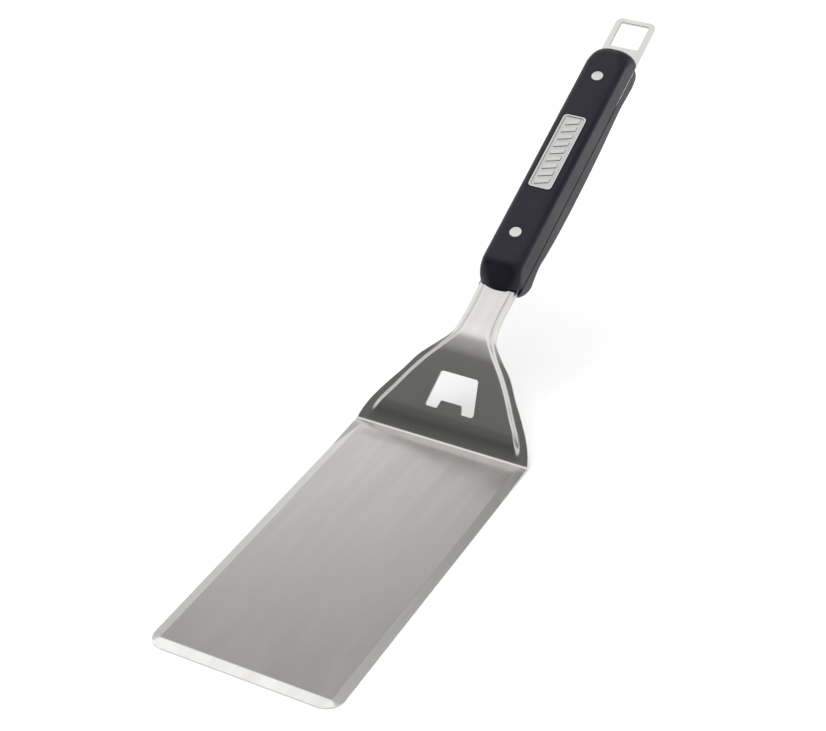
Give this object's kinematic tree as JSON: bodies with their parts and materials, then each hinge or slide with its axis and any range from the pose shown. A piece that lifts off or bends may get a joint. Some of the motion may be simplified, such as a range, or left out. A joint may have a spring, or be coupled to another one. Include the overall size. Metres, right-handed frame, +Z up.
{
  "type": "grill spatula",
  "caption": "Wide bevelled steel blade on a cranked neck with a bottle opener, a riveted two-scale handle and an open hang loop.",
  "frame": {"origin": "under the middle of the whole tool, on the surface that the flat blade lies on", "axes": "+Y from the blade's front edge towards the hang loop, +Z up from the flat blade, +X to the right of someone looking from the blade to the handle"},
  "size_m": [0.1016, 0.4472, 0.1394],
  "materials": {
    "stainless_steel": "satin",
    "handle_plastic": "satin",
    "rivet_steel": "fine turned",
    "badge_metal": "satin",
    "adhesive_foam": "matt"
  },
  "bodies": {
    "root": {"blade_and_tang": "stainless_steel", "upper_scale": "handle_plastic", "lower_scale": "handle_plastic", "front_rivet_post": "rivet_steel", "front_rivet_sleeve": "rivet_steel", "rear_rivet_post": "rivet_steel", "rear_rivet_sleeve": "rivet_steel", "badge_plate": "badge_metal", "badge_adhesive_pad": "adhesive_foam"}
  },
  "joints": []
}
